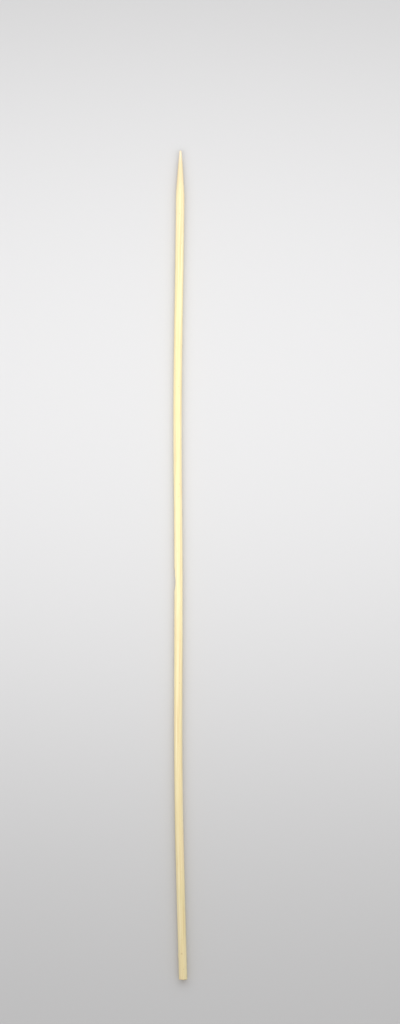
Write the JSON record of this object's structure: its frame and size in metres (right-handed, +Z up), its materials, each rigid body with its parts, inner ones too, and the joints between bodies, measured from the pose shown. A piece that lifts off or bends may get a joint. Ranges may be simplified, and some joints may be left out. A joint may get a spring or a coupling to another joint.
{
  "type": "skewer",
  "caption": "Long thin bamboo skewer: a straight-grained round stick with a ground point at one end and a sawn butt at the other.",
  "frame": {"origin": "under the middle of the stick's box, on the surface that the stick lies on", "axes": "+Y along the stick towards its point, +Z up, X across the stick"},
  "size_m": [0.0044, 0.3, 0.003],
  "materials": {
    "bamboo": "pale bamboo, drawn round through a die and left bare, with a dull sheen along the fibres"
  },
  "bodies": {
    "root": {"skewer": "bamboo"}
  },
  "joints": []
}
